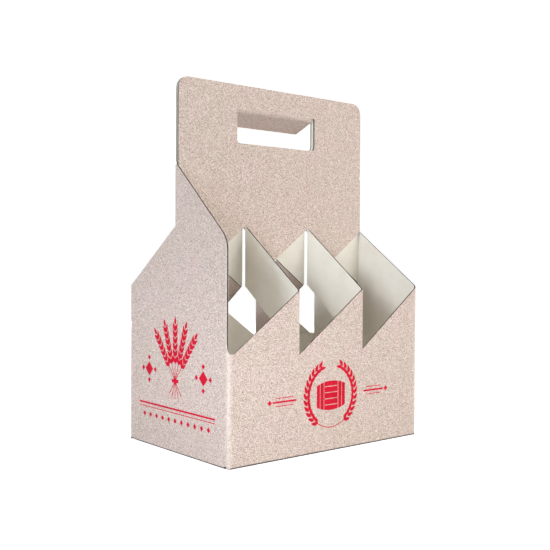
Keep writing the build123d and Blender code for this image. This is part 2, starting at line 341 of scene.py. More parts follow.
@dataclass(frozen=True)
class PrintedKraft:
    """Outer side of the board: pinkish recycled kraft with a fine speckle, pale creases and corners that are
    partly crease wear and partly painted highlight, and painted contact shade along the base folds.

    A noise fades on planes that lie between its cells. The scales of the speckle and the fuzz
    keep the walls off such planes.
    """

    name: str = "printed_kraft"
    base: Colour = srgb(219, 198, 187)
    rosy: Colour = srgb(222, 196, 189)
    straw: Colour = srgb(215, 199, 184)
    fleck: Colour = srgb(149, 122, 107)
    pale: Colour = srgb(244, 233, 226)
    # Pale colour of creases and upright corners: partly real crease wear, partly a painted highlight
    worn_highlight: Colour = srgb(243, 232, 222)
    # Painted contact shade: dark colour along the base folds where the carrier meets the floor
    contact_shade_colour: Colour = srgb(40, 27, 24)
    cloud: Grain = Grain(38.0, 3.0)
    cloud_span: Span = Span(0.35, 0.65)
    base_share: float = 0.35
    speckle: Grain = Grain(2024.0, 2.0, 0.7)
    fleck_span: Span = Span(0.50, 0.62, 0.0, 0.95)
    pale_span: Span = Span(0.50, 0.38)
    fuzz: Grain = Grain(243.0, 4.0, 0.7)
    fuzz_span: Span = Span(0.30, 0.62, 0.35, 0.85)
    half_width: float = 100.0 * MM
    half_depth: float = 69.0 * MM
    # Painted highlight in a band beside the upright corners, fading out over 5.5 mm
    corner_highlight_span: Span = Span(5.5 * MM, 0.0, 0.0, 0.75)
    # Span of the painted contact shade along the base folds
    contact_shade_span: Span = Span(0.1, 0.34)
    rough_span: Span = Span(0.3, 0.7, 0.76, 0.88)
    specular: float = 0.25
    flute_depth: float = 0.006 * MM
    speckle_depth: float = 0.03 * MM
    fuzz_depth: float = 0.05 * MM

    def make(self) -> bpy.types.Material:
        """Builds the material."""
        shader = Shader(bpy.data.materials.new(self.name))
        cloud = shader.spread(shader.noise(self.cloud), self.cloud_span)
        tint = shader.mix(cloud, self.rosy, self.straw)
        tint = shader.mix(self.base_share, tint, self.base)
        speckle = shader.noise(self.speckle)
        tint = shader.mix(shader.spread(speckle, self.fleck_span), tint, self.fleck)
        tint = shader.mix(shader.spread(speckle, self.pale_span), tint, self.pale)
        fuzz = shader.noise(self.fuzz)
        # Painted highlight beside the upright corners, by the distance from the nearest one
        from_corner = shader.from_corner(self.half_width, self.half_depth)
        corner_highlight = shader.spread(from_corner, self.corner_highlight_span)
        # Pale creases and corners: partly crease wear, partly a painted highlight where the folds catch the
        # light
        wear_highlight = shader.maths("MAXIMUM", shader.attribute(Attribute.CREASE), corner_highlight)
        wear_highlight = shader.maths("MULTIPLY", wear_highlight, shader.spread(fuzz, self.fuzz_span))
        tint = shader.mix(wear_highlight, tint, self.worn_highlight)
        # Painted contact shade, darkening the base folds towards the floor
        contact_shade = shader.spread(shader.attribute(Attribute.CONTACT_SHADE), self.contact_shade_span)
        tint = shader.mix(contact_shade, tint, self.contact_shade_colour)
        relief = shader.bump(speckle, self.speckle_depth, shader.ribs(self.flute_depth))
        relief = shader.bump(fuzz, self.fuzz_depth, relief)
        roughness = shader.spread(speckle, self.rough_span)
        return shader.finish(tint, roughness, self.specular, relief)


@dataclass(frozen=True)
class CreamLiner:
    """Inner side of the board: smooth off-white liner with a soft cloudiness and sparse fibres."""

    name: str = "cream_liner"
    base: Colour = srgb(239, 235, 225)
    shade: Colour = srgb(234, 229, 217)
    fibre: Colour = srgb(198, 188, 166)
    cloud: Grain = Grain(55.0, 4.0, 0.6)
    cloud_span: Span = Span(0.35, 0.68)
    strands: Grain = Grain(620.0, 3.0, 0.75)
    fibre_span: Span = Span(0.64, 0.78, 0.0, 0.5)
    rough_span: Span = Span(0.3, 0.7, 0.67, 0.77)
    specular: float = 0.3
    flute_depth: float = 0.008 * MM
    strand_depth: float = 0.02 * MM

    def make(self) -> bpy.types.Material:
        """Builds the material."""
        shader = Shader(bpy.data.materials.new(self.name))
        cloud = shader.spread(shader.noise(self.cloud), self.cloud_span)
        tint = shader.mix(cloud, self.base, self.shade)
        strands = shader.noise(self.strands)
        tint = shader.mix(shader.spread(strands, self.fibre_span), tint, self.fibre)
        relief = shader.bump(strands, self.strand_depth, shader.ribs(self.flute_depth))
        roughness = shader.spread(strands, self.rough_span)
        return shader.finish(tint, roughness, self.specular, relief)


@dataclass(frozen=True)
class CutEdge:
    """Cut edge of the board: two pale liners with a waved flute between them, the flute's core darkened by
    painted shade in its hollows.

    The wave and the spans of the liners are shares of the depth, from the printed side.
    """

    name: str = "cut_edge"
    outer_liner: Colour = srgb(226, 207, 195)
    inner_liner: Colour = srgb(252, 249, 240)
    # Flute paper darkened by painted shade, and darker painted shade in the hollows between its waves
    shaded_medium: Colour = srgb(78, 62, 52)
    flute_shade: Colour = srgb(34, 27, 23)
    wave_middle: float = 0.48
    wave_swing: float = 0.24
    wave_span: Span = Span(0.07, 0.16)
    outer_span: Span = Span(0.13, 0.06)
    inner_span: Span = Span(0.80, 0.88)
    torn: Grain = Grain(1500.0, 2.0, 0.7)
    torn_span: Span = Span(0.58, 0.78, 0.0, 0.35)
    torn_depth: float = 0.05 * MM
    roughness: float = 0.95
    specular: float = 0.15

    def make(self) -> bpy.types.Material:
        """Builds the material."""
        shader = Shader(bpy.data.materials.new(self.name))
        depth = shader.attribute(Attribute.DEPTH)
        swing = shader.maths("MULTIPLY", shader.wave(), self.wave_swing)
        crest = shader.maths("ADD", swing, self.wave_middle)
        off_wave = shader.maths("ABSOLUTE", shader.maths("SUBTRACT", depth, crest))
        # Painted shade of the flute core, darkest in the hollows off the wave
        core = shader.mix(shader.spread(off_wave, self.wave_span), self.shaded_medium, self.flute_shade)
        torn = shader.noise(self.torn)
        core = shader.mix(shader.spread(torn, self.torn_span), core, self.outer_liner)
        tint = shader.mix(shader.spread(depth, self.outer_span), core, self.outer_liner)
        tint = shader.mix(shader.spread(depth, self.inner_span), tint, self.inner_liner)
        relief = shader.bump(torn, self.torn_depth)
        return shader.finish(tint, self.roughness, self.specular, relief)


@dataclass(frozen=True)
class RedInk:
    """Red print that has sunk a little into the kraft, with the board's speckle showing through."""

    name: str = "red_ink"
    base: Colour = srgb(214, 8, 48)
    thin: Colour = srgb(220, 64, 88)
    deep: Colour = srgb(192, 6, 42)
    grain: Grain = Grain(903.0, 2.0, 0.7)
    thin_span: Span = Span(0.55, 0.72, 0.0, 0.55)
    patch: Grain = Grain(163.0, 3.0, 0.6)
    deep_span: Span = Span(0.42, 0.7, 0.0, 0.6)
    rough_span: Span = Span(0.3, 0.7, 0.52, 0.7)
    specular: float = 0.12
    grain_depth: float = 0.03 * MM

    def make(self) -> bpy.types.Material:
        """Builds the material."""
        shader = Shader(bpy.data.materials.new(self.name))
        grain = shader.noise(self.grain)
        tint = shader.mix(shader.spread(grain, self.thin_span), self.base, self.thin)
        patch = shader.spread(shader.noise(self.patch), self.deep_span)
        tint = shader.mix(patch, tint, self.deep)
        relief = shader.bump(grain, self.grain_depth)
        roughness = shader.spread(grain, self.rough_span)
        return shader.finish(tint, roughness, self.specular, relief)


def background_rays(tree: bpy.types.NodeTree) -> bpy.types.NodeSocket:
    """Tells the rays that show the background as it is: the camera's, mirrored and clear ones.

    Args:
        tree: The node tree that needs to know.

    Returns:
        1 for such a ray and 0 for any other.
    """
    path = tree.nodes.new("ShaderNodeLightPath")
    shown = path.outputs["Is Camera Ray"]
    for kind in ("Is Glossy Ray", "Is Transmission Ray"):
        either = tree.nodes.new("ShaderNodeMath")
        either.operation = "MAXIMUM"
        tree.links.new(shown, either.inputs[0])
        tree.links.new(path.outputs[kind], either.inputs[1])
        shown = either.outputs["Value"]
    return shown


@dataclass(frozen=True)
class PaleStudio:
    """Floor and backdrop: white to the camera, with the soft shadow of what stands on it."""

    name: str = "pale_studio"
    colour: Colour = srgb(210, 210, 210)
    glow: float = 0.93

    def make(self) -> bpy.types.Material:
        """Builds the material."""
        material = bpy.data.materials.new(self.name)
        material.use_nodes = True
        nodes = material.node_tree.nodes
        links = material.node_tree.links
        nodes.clear()
        output = nodes.new("ShaderNodeOutputMaterial")
        matte = nodes.new("ShaderNodeBsdfDiffuse")
        matte.inputs["Color"].default_value = self.colour
        light = nodes.new("ShaderNodeEmission")
        light.inputs["Color"].default_value = WHITE
        share = nodes.new("ShaderNodeMath")
        share.operation = "MULTIPLY"
        links.new(background_rays(material.node_tree), share.inputs[0])
        share.inputs[1].default_value = self.glow
        links.new(share.outputs["Value"], light.inputs["Strength"])
        total = nodes.new("ShaderNodeAddShader")
        links.new(matte.outputs["BSDF"], total.inputs[0])
        links.new(light.outputs["Emission"], total.inputs[1])
        links.new(total.outputs["Shader"], output.inputs["Surface"])
        return material


# The sheet


def add_object(name: str, data: bpy.types.ID) -> bpy.types.Object:
    """Puts a new object into the scene.

    Args:
        name: Its name.
        data: Its mesh, camera or light.

    Returns:
        The object.
    """
    added = bpy.data.objects.new(name, data)
    bpy.context.scene.collection.objects.link(added)
    return added


def edges_of(made: list[object]) -> list[bmesh.types.BMEdge]:
    """Picks the edges from what a mesh operator has made."""
    return [item for item in made if isinstance(item, bmesh.types.BMEdge)]


def round_corners(
    mesh: bmesh.types.BMesh, verts: list[bmesh.types.BMVert], reach: float, steps: int
) -> None:
    """Rounds corners of a flat face.

    Args:
        mesh: The mesh with the face.
        verts: The corners.
        reach: How far from the corner the rounding starts.
        steps: Number of straight steps in the rounding.
    """
    bmesh.ops.bevel(
        mesh,
        geom=verts,
        offset=reach,
        offset_type="OFFSET",
        segments=steps,
        profile=ROUND_PROFILE,
        affect="VERTICES",
        material=-1,
    )


def spin_edge(
    mesh: bmesh.types.BMesh,
    edge: bmesh.types.BMEdge,
    centre: Vector,
    axis: Vector,
    turn: float,
    steps: int,
) -> bmesh.types.BMEdge:
    """Spins a curved strip out of an edge.

    Args:
        mesh: The mesh with the edge.
        edge: The line that the strip starts from.
        centre: A point on the axis.
        axis: Direction of the axis.
        turn: Angle of the strip in degrees.
        steps: Number of flat steps in the strip.

    Returns:
        The strip's far edge.
    """
    made = bmesh.ops.spin(
        mesh,
        geom=[edge, *edge.verts],
        cent=centre,
        axis=axis,
        dvec=(0, 0, 0),
        angle=math.radians(turn),
        space=Matrix(),
        steps=steps,
        use_merge=False,
        use_normal_flip=False,
        use_duplicate=False,
    )
    return edges_of(made["geom_last"])[0]


def draw_edge(
    mesh: bmesh.types.BMesh, edge: bmesh.types.BMEdge, shift: Vector
) -> bmesh.types.BMEdge:
    """Draws a flat strip out of an edge.

    Args:
        mesh: The mesh with the edge.
        edge: The line that the strip starts from.
        shift: From that line to the strip's far edge.

    Returns:
        The strip's far edge.
    """
    made = bmesh.ops.extrude_edge_only(mesh, edges=[edge])["geom"]
    verts = [item for item in made if isinstance(item, bmesh.types.BMVert)]
    bmesh.ops.translate(mesh, verts=verts, vec=shift)
    return next(item for item in edges_of(made) if set(item.verts) == set(verts))


def evenly(share: float) -> float:
    """Climbs by equal steps."""
    return share


def late(share: float) -> float:
    """Climbs along a quarter circle: flat at first and upright at its end."""
    return 1 - math.sqrt(max(0.0, 1 - share * share))


@dataclass(frozen=True)
class FoldForm:
    """How a fold differs from a plain one.

    Its top may climb by a rise, the lower ends inside it may reach down by a drop, and its
    printed side may be pale in its middle, partly crease wear and partly painted highlight, and
    painted dark towards its end as painted contact shade.
    """

    rise: float = 0.0
    drop: float = 0.0
    wear_highlight: float = 0.6
    contact_shade: float = 0.0
    climb: Callable[[float], float] = evenly


# Base folds: no pale crease, and painted contact shade that darkens towards the floor
BASE_FOLD = FoldForm(wear_highlight=0.0, contact_shade=1.0)


@dataclass
class Pattern:
    """Printed side of a piece of board while it is laid out, in millimetres and degrees."""

    fold_steps: int = 6
    corner_steps: int = 8
    edge_steps: int = 2
    weld: float = 0.03
    flat_limit: float = 1.0
    normal_weight: int = 80
    mesh: bmesh.types.BMesh = field(default_factory=bmesh.new)

    def __post_init__(self) -> None:
        """Adds the values that mark pale creases and the painted contact shade of the base folds."""
        for attribute in (Attribute.CREASE, Attribute.CONTACT_SHADE):
            self.mesh.verts.layers.float.new(attribute.value)

    def panel(
        self, corners: list[Vector], rounded: dict[int, float] | None = None
    ) -> list[bmesh.types.BMEdge]:
        """Lays a flat panel and rounds some of its corners.

        Args:
            corners: Outline of the panel.
            rounded: How far from the corner the rounding starts, by the corner's number.

        Returns:
            The panel's edges.
        """
        known = set(self.mesh.faces)
        ring = [self.mesh.verts.new(corner) for corner in corners]
        outline = [self.mesh.edges.new(pair) for pair in zip(ring, ring[1:] + ring[:1])]
        bmesh.ops.edgeloop_fill(self.mesh, edges=outline)
        for number, reach in (rounded or {}).items():
            round_corners(self.mesh, [ring[number]], reach, self.corner_steps)
        made = [face for face in self.mesh.faces if face not in known]
        return list({edge for face in made for edge in face.edges})

    def punched_panel(
        self,
        corners: list[Vector],
        rounded: dict[int, float],
        hole: list[Vector],
        hole_rounded: dict[int, float],
    ) -> None:
        """Lays a flat panel with a hole in it.

        Args:
            corners: Outline of the panel.
            rounded: Roundings of the outline, by the corner's number.
            hole: Outline of the hole.
            hole_rounded: Roundings of the hole, by the corner's number.
        """
        rim = self.panel(corners, rounded) + self.panel(hole, hole_rounded)
        filled = list({face for edge in rim for face in edge.link_faces})
        bmesh.ops.delete(self.mesh, geom=filled, context="FACES_ONLY")
        made = bmesh.ops.triangle_fill(self.mesh, use_beauty=True, use_dissolve=False, edges=rim)
        across = [edge for edge in edges_of(made["geom"]) if edge not in rim]
        bmesh.ops.dissolve_limit(
            self.mesh,
            angle_limit=math.radians(self.flat_limit),
            use_dissolve_boundaries=False,
            verts=[],
            edges=across,
            delimit=set(),
        )

    def line(self, start: Vector, end: Vector) -> bmesh.types.BMEdge:
        """Lays a line that a fold or a run starts from."""
        return self.mesh.edges.new((self.mesh.verts.new(start), self.mesh.verts.new(end)))

    def fold(
        self,
        edge: bmesh.types.BMEdge,
        centre: Vector,
        axis: Vector,
        turn: float,
        form: FoldForm = FoldForm(),
    ) -> bmesh.types.BMEdge:
        """Spins a fold from an edge.

        Args:
            edge: The line that the fold starts from.
            centre: A point on the fold's axis.
            axis: Direction of the fold's axis.
            turn: Angle of the fold in degrees.
            form: How the fold's ends and its wear differ from a plain fold.

        Returns:
            The line that the fold ends at.
        """
        known = set(self.mesh.verts)
        start = max(edge.verts, key=lambda vert: vert.co.z).co - centre
        start -= axis * start.dot(axis)
        middle = sum((vert.co.z for vert in edge.verts), 0.0) / 2
        last = spin_edge(self.mesh, edge, centre, axis, turn, self.fold_steps)
        layers = self.mesh.verts.layers.float
        crease, contact_shade = layers[Attribute.CREASE.value], layers[Attribute.CONTACT_SHADE.value]
        for vert in [vert for vert in self.mesh.verts if vert not in known]:
            arm = vert.co - centre
            arm -= axis * arm.dot(axis)
            share = min(arm.angle(start) / abs(math.radians(turn)), 1.0)
            # Pale crease, strongest in the fold's middle: partly crease wear, partly a painted highlight
            vert[crease] = form.wear_highlight * math.sin(math.pi * share)
            # Painted contact shade grows towards the fold's end, under the base
            vert[contact_shade] = form.contact_shade * share
            if form.rise and vert.co.z > middle:
                vert.co.z += form.rise * form.climb(share)
            elif form.drop and vert not in last.verts:
                vert.co.z -= form.drop
        return last

    def run(self, edge: bmesh.types.BMEdge, shift: Vector) -> bmesh.types.BMEdge:
        """Draws a flat strip out of an edge and returns the strip's far edge."""
        return draw_edge(self.mesh, edge, shift)

    def board(
        self, name: str, thickness: float, edge_round: float, outward: tuple[Vector, Vector]
    ) -> bpy.types.Object:
        """Joins the panels and folds, and gives them the board's thickness.

        Args:
            name: Name of the piece.
            thickness: Thickness of the board.
            edge_round: How far the cut edges are rounded.
            outward: A point on the printed side, and the direction that it faces.

        Returns:
            The piece, with its faces sorted into the board's sides.
        """
        bmesh.ops.remove_doubles(self.mesh, verts=self.mesh.verts, dist=self.weld)
        bmesh.ops.recalc_face_normals(self.mesh, faces=self.mesh.faces)
        place, facing = outward
        nearest = min(self.mesh.faces, key=lambda face: (face.calc_center_median() - place).length)
        if nearest.normal.dot(facing) < 0:
            bmesh.ops.reverse_faces(self.mesh, faces=self.mesh.faces)
        bmesh.ops.scale(self.mesh, verts=self.mesh.verts, vec=(MM, MM, MM))
        data = bpy.data.meshes.new(name)
        self.mesh.to_mesh(data)
        self.mesh.free()
        piece = add_object(name, data)
        for _ in BoardSide:
            data.materials.append(None)
        shell = piece.modifiers.new("thickness", "SOLIDIFY")
        shell.thickness = thickness * MM
        shell.offset = -1.0
        shell.use_even_offset = True
        shell.use_quality_normals = True
        shell.material_offset = BoardSide.LINER
        shell.material_offset_rim = BoardSide.CUT
        shown = piece.evaluated_get(bpy.context.evaluated_depsgraph_get())
        solid = bpy.data.meshes.new_from_object(shown)
        piece.modifiers.clear()
        piece.data = solid
        self.finish_edges(solid, edge_round)
        normals = piece.modifiers.new("normals", "WEIGHTED_NORMAL")
        normals.weight = self.normal_weight
        return piece

    def finish_edges(self, solid: bpy.types.Mesh, edge_round: float) -> None:
        """Rounds the cut edges and marks how deep in the board each vertex lies.

        Args:
            solid: The board with its thickness.
            edge_round: How far the cut edges are rounded.
        """
        mesh = bmesh.new()
        mesh.from_mesh(solid)
        depth = mesh.verts.layers.float.new(Attribute.DEPTH.value)
        for face in mesh.faces:
            face.smooth = True
            if face.material_index == BoardSide.LINER:
                for vert in face.verts:
                    vert[depth] = 1.0
        rims = []
        for edge in mesh.edges:
            sides = {face.material_index for face in edge.link_faces}
            if BoardSide.CUT in sides and len(sides) == 2:
                rims.append(edge)
        bmesh.ops.bevel(
            mesh,
            geom=rims,
            offset=edge_round * MM,
            offset_type="OFFSET",
            segments=self.edge_steps,
            profile=ROUND_PROFILE,
            affect="EDGES",
            clamp_overlap=False,
            material=-1,
        )
        mesh.to_mesh(solid)
        mesh.free()


@dataclass
class BottleCarrier:
    """The folded sheet: walls, ends, dividers, double handle and base. Sizes are in millimetres."""

    thickness: float = 1.5
    edge_round: float = 0.16
    glue_gap: float = 0.3
    half_width: float = 100.0
    half_depth: float = 69.0
    height: float = 291.5
    corner_r: float = 2.0
    corner_drop: float = 1.85
    # Paleness of the corner folds: partly crease wear, partly a painted highlight
    corner_wear_highlight: float = 0.6
    base_r: float = 2.0
    handle_r: float = 2.0
    divider_r: float = 2.0
    divider_gap: float = 0.6
    cell_pitch: float = 67.8
    valley_z: float = 78.6
    handle_valley_z: float = 127.8
    tooth_rise: float = 48.6
    notch_rise: float = 4.0
    end_top_z: float = 222.5
    end_top_flat: float = 1.6
    shoulder_slope: float = 0.89
    shoulder_reach: float = 7.2
    end_foot_rise: float = 12.5
    handle_corner_r: float = 9.5
    handle_edge_inset: float = 1.5
    fold_relief: float = 2.8
    hole_spans: tuple[tuple[float, float], ...] = ((-42.0, 42.0), (-40.1, 42.1))
    hole_tops: tuple[float, float] = (272.6, 272.05)
    hole_low_z: float = 244.5
    hole_low_r: float = 3.5
    hole_top_r: float = 1.3
    base_flap_x: float = 88.5
    base_taper: float = 1.0
    base_gap: float = 0.3
    end_flap_half: float = 63.5
    end_flap_dip: float = 2.5
    end_flap_ramp: float = 7.0
    end_flap_length: float = 48.0
    lap_length: float = 14.0
    lap_edge_x: float = 99.0
    lap_setback: float = 7.0
    pattern: Pattern = field(default_factory=Pattern)

    def __post_init__(self) -> None:
        """Works out the lines that several panels share."""
        self.wall_x: float = self.half_width - self.corner_r
        self.wall_y: float = self.half_depth - self.corner_r
        self.lap_wall_y: float = self.wall_y - self.thickness - self.glue_gap
        self.layer_y: float = -(self.glue_gap / 2 + self.thickness)
        self.turn_x: float = self.half_width - self.handle_r
        self.turn_y: float = -self.layer_y - self.handle_r
        self.edge_x: float = self.half_width - self.handle_edge_inset
        self.tip_z: float = self.valley_z + self.tooth_rise
        self.peak_z: float = self.handle_valley_z + self.tooth_rise
        self.notch_z: float = self.valley_z + self.notch_rise
        self.foot_z: float = self.valley_z + self.end_foot_rise
        climb = (self.peak_z - self.tip_z) / self.half_depth
        self.end_low_z: float = self.tip_z + climb * self.corner_r
        inner = self.divider_gap / 2 + self.thickness
        self.folds: list[float] = [side * self.cell_pitch / 2 + inner for side in (-1, 1)]
        self.starts: list[float] = [-self.half_width, *self.folds]
        self.ends: list[float] = [*self.folds, self.half_width]

    def slope_z(self, x: float, tooth: int, low: float) -> float:
        """Gives the height of a tooth's sloping edge.

        Args:
            x: Place along the front.
            tooth: Number of the tooth, from the left.
            low: Height at the tooth's start.

        Returns:
            The height of the edge there.
        """
        start, end = self.starts[tooth], self.ends[tooth]
        return low + self.tooth_rise * (x - start) / (end - start)

    def wall(self, half: Half) -> None:
        """Lays the front or rear wall: saw teeth, base flap and the fold at its right."""
        pattern, y = self.pattern, -self.half_depth
        first_span = self.ends[0] - self.starts[0]
        notch_end = -self.half_width + self.notch_rise * first_span / self.tooth_rise
        outline = [(-self.wall_x, self.base_r)]
        if half is Half.REAR:
            outline.append((-self.lap_edge_x, self.base_r))
            lap_top = self.slope_z(-self.lap_edge_x, 0, self.valley_z)
            outline.append((-self.lap_edge_x, lap_top))
        else:
            outline.append((-self.wall_x, self.notch_z))
            outline.append((notch_end, self.notch_z))
        for tooth, end in enumerate(self.folds):
            fold_x = end - self.divider_r
            outline.append((fold_x, self.slope_z(fold_x, tooth, self.valley_z)))
            outline.append((fold_x, self.valley_z))
            outline.append((end, self.valley_z))
        side_top = self.slope_z(self.wall_x, 2, self.valley_z)
        outline.append((self.wall_x, side_top))
        outline.append((self.wall_x, self.base_r))
        pattern.panel([Vector((x, y, z)) for x, z in outline])

        low = Vector((self.wall_x, y, self.base_r))
        side = pattern.line(low, Vector((self.wall_x, y, side_top)))
        corner = FoldForm(self.end_low_z - side_top, self.corner_drop, self.corner_wear_highlight)
        centre = Vector((self.wall_x, -self.wall_y, 0))
        pattern.fold(side, centre, Z_AXIS, QUARTER_TURN, corner)

        root = y + self.base_r
        foot = pattern.line(Vector((-self.wall_x, y, self.base_r)), low)
        pattern.fold(foot, Vector((0, root, self.base_r)), X_AXIS, QUARTER_TURN, BASE_FOLD)
        flap = [
            (-self.wall_x, root),
            (-self.base_flap_x, root + self.base_taper),
            (-self.base_flap_x, -self.base_gap),
            (self.base_flap_x, -self.base_gap),
            (self.base_flap_x, root + self.base_taper),
            (self.wall_x, root),
        ]
        pattern.panel([Vector((flap_x, flap_y, 0)) for flap_x, flap_y in flap])

    def dividers(self) -> None:
        """Folds each divider in from a tooth of the wall and out again into the handle layer."""
        pattern, inner_r = self.pattern, self.divider_r - self.thickness
        for tooth, end in enumerate(self.folds):
            fold_x = end - self.divider_r
            top = self.slope_z(fold_x, tooth, self.valley_z)
            low = Vector((fold_x, -self.half_depth, self.valley_z))
            start = pattern.line(low, Vector((fold_x, -self.half_depth, top)))
            centre = Vector((fold_x, -self.half_depth + self.divider_r, 0))
            form = FoldForm(self.tip_z - top)
            edge = pattern.fold(start, centre, Z_AXIS, QUARTER_TURN, form)
            reach = self.layer_y - inner_r - centre.y
            edge = pattern.run(edge, Vector((0, reach, self.handle_valley_z - self.valley_z)))
            centre = Vector((end + inner_r, self.layer_y - inner_r, 0))
            pattern.fold(edge, centre, Z_AXIS, -QUARTER_TURN)

    def handle_layer(self, half: Half) -> None:
        """Lays one layer of the handle, with its zigzag lower edge and its hand hole."""
        inner_r = self.divider_r - self.thickness
        outline = [(-self.edge_x, self.slope_z(-self.edge_x, 0, self.handle_valley_z))]
        for end in self.folds:
            outline.append((end - self.thickness, self.peak_z))
            outline.append((end + inner_r, self.peak_z))
            outline.append((end + inner_r, self.handle_valley_z))
        outline.append((self.turn_x, self.slope_z(self.turn_x, 2, self.handle_valley_z)))
        outline.append((self.turn_x, self.peak_z))
        outline.append((self.turn_x, self.end_top_z))
        outline.append((self.turn_x, self.end_top_z + self.fold_relief))
        outline.append((self.edge_x, self.end_top_z + self.fold_relief))
        outline.append((self.edge_x, self.height))
        outline.append((-self.edge_x, self.height))
        number = 0 if half is Half.FRONT else 1
        (left, right), top = self.hole_spans[number], self.hole_tops[number]
        low = self.hole_low_z
        hole = [(left, low), (right, low), (right, top), (left, top)]
        last = len(outline) - 1
        self.pattern.punched_panel(
            [Vector((x, self.layer_y, z)) for x, z in outline],
            {last - 1: self.handle_corner_r, last: self.handle_corner_r},
            [Vector((x, self.layer_y, z)) for x, z in hole],
            {0: self.hole_low_r, 1: self.hole_low_r, 2: self.hole_top_r, 3: self.hole_top_r},
        )

    def end(self, half: Half) -> None:
        """Lays an end, half high and half low, with its fold into the handle and its base flap."""
        pattern, x = self.pattern, -self.half_width
        flat_y = self.turn_y - self.end_top_flat
        if half is Half.FRONT:
            edge_y = self.wall_y
            outline = [(-edge_y, self.base_r), (-edge_y, self.foot_z)]
        else:
            edge_y = self.wall_y - self.lap_setback
            outline = [(-self.lap_wall_y, self.base_r), (-self.lap_wall_y, self.valley_z)]
            outline.append((-edge_y, self.valley_z))
        shoulder = len(outline)
        outline.append((-edge_y, self.end_top_z - self.shoulder_slope * (flat_y + edge_y)))
        outline.append((flat_y, self.end_top_z))
        outline.append((self.turn_y, self.end_top_z))
        outline.append((self.turn_y, self.peak_z))
        outline.append((self.wall_y, self.end_low_z))
        outline.append((self.wall_y, self.base_r))
        outline.append((self.end_flap_half, self.base_r))
        outline.append((-self.end_flap_half, self.base_r))
        pattern.panel([Vector((x, y, z)) for y, z in outline], {shoulder: self.shoulder_reach})

        low = Vector((x, self.turn_y, self.peak_z))
        side = pattern.line(low, Vector((x, self.turn_y, self.end_top_z)))
        pattern.fold(side, Vector((-self.turn_x, self.turn_y, 0)), Z_AXIS, -QUARTER_TURN)

        near = Vector((x, -self.end_flap_half, self.base_r))
        foot = pattern.line(near, Vector((x, self.end_flap_half, self.base_r)))
        centre = Vector((x + self.base_r, 0, self.base_r))
        edge = pattern.fold(foot, centre, Y_AXIS, -QUARTER_TURN, BASE_FOLD)
        edge = pattern.run(edge, Vector((self.end_flap_dip, 0, 0)))
        edge = pattern.run(edge, Vector((self.end_flap_ramp, 0, self.thickness + self.glue_gap)))
        flat = self.end_flap_length - self.base_r - self.end_flap_dip - self.end_flap_ramp
        pattern.run(edge, Vector((flat, 0, 0)))

    def left_corner(self, half: Half) -> None:
        """Folds the corner at the wall's left: one with the end, or lapped inside the wall."""
        pattern = self.pattern
        if half is Half.FRONT:
            x, y, rise = -self.wall_x, -self.half_depth, self.foot_z - self.notch_z
            start = pattern.line(Vector((x, y, self.base_r)), Vector((x, y, self.notch_z)))
            notch = FoldForm(rise, self.corner_drop, self.corner_wear_highlight, climb=late)
            pattern.fold(start, Vector((x, -self.wall_y, 0)), Z_AXIS, -QUARTER_TURN, notch)
            return
        x, y = -self.half_width, -self.lap_wall_y
        start = pattern.line(Vector((x, y, self.base_r)), Vector((x, y, self.valley_z)))
        edge = pattern.fold(start, Vector((-self.wall_x, y, 0)), Z_AXIS, QUARTER_TURN)
        pattern.run(edge, Vector((self.lap_length, 0, 0)))

    def half_sheet(self, half: Half) -> None:
        """Lays one half of the sheet and turns it to its side of the carrier."""
        known = set(self.pattern.mesh.verts)
        self.wall(half)
        self.dividers()
        self.handle_layer(half)
        self.end(half)
        self.left_corner(half)
        made = [vert for vert in self.pattern.mesh.verts if vert not in known]
        turn = Matrix.Rotation(math.radians(half.value), 3, "Z")
        bmesh.ops.rotate(self.pattern.mesh, verts=made, cent=(0, 0, 0), matrix=turn)

    def build(self) -> bpy.types.Object:
        """Builds the whole folded sheet.

        Returns:
            The piece that stands for the carrier's node.
        """
        for half in Half:
            self.half_sheet(half)
        face = (Vector((0, -self.half_depth, self.valley_z / 2)), -Y_AXIS)
        return self.pattern.board("folded_sheet", self.thickness, self.edge_round, face)


@dataclass
class GripFlap:
    """The flap of the hand hole, pushed back through both layers on a soft bend. Millimetres."""

    thickness: float = 1.5
    edge_round: float = 0.16
    left_x: float = -41.5
    right_x: float = 39.5
    layer_y: float = -1.65
    root_z: float = 272.6
    bend_r: float = 4.0
    bend_angle: float = 68.5
    length: float = 25.8
    end_r: float = 1.5
    blend_shift: Point = (0.0, 1.5, -4.0)
    pattern: Pattern = field(default_factory=Pattern)

    def build(self) -> bpy.types.Object:
        """Builds the flap.

        Returns:
            The piece that stands for the flap's node.
        """
        pattern, bend = self.pattern, math.radians(self.bend_angle)
        centre = Vector((0, self.layer_y + self.bend_r, self.root_z))
        left = Vector((self.left_x, self.layer_y, self.root_z))
        root = pattern.line(left, Vector((self.right_x, self.layer_y, self.root_z)))
        edge = pattern.fold(root, centre, X_AXIS, self.bend_angle, FoldForm(wear_highlight=0.0))
        reach = self.length - self.bend_r * bend
        edge = pattern.run(edge, Vector((0, reach * math.sin(bend), -reach * math.cos(bend))))
        round_corners(pattern.mesh, list(edge.verts), self.end_r, pattern.corner_steps)
        face = (Vector((0, reach / 2, self.root_z - self.bend_r - reach / 4)), -Z_AXIS)
        return pattern.board("swung_flap", self.thickness, self.edge_round, face)

    def bend_span(self) -> tuple[Vector, Vector]:
        """Gives the points, in metres, between which the flap bends when it swings."""
        start = Vector((0, self.layer_y + self.thickness / 2, self.root_z))
        end = start + Vector(self.blend_shift)
        return start * MM, end * MM


# Studio

# Where most lamps aim, and the tints of their light
MIDDLE: Point = (0.0, 0.0, 0.12)
COOL: Tint = (0.86, 0.93, 1.0)
SOFT: Tint = (1.0, 0.99, 0.96)
WARM: Tint = (1.0, 0.90, 0.78)


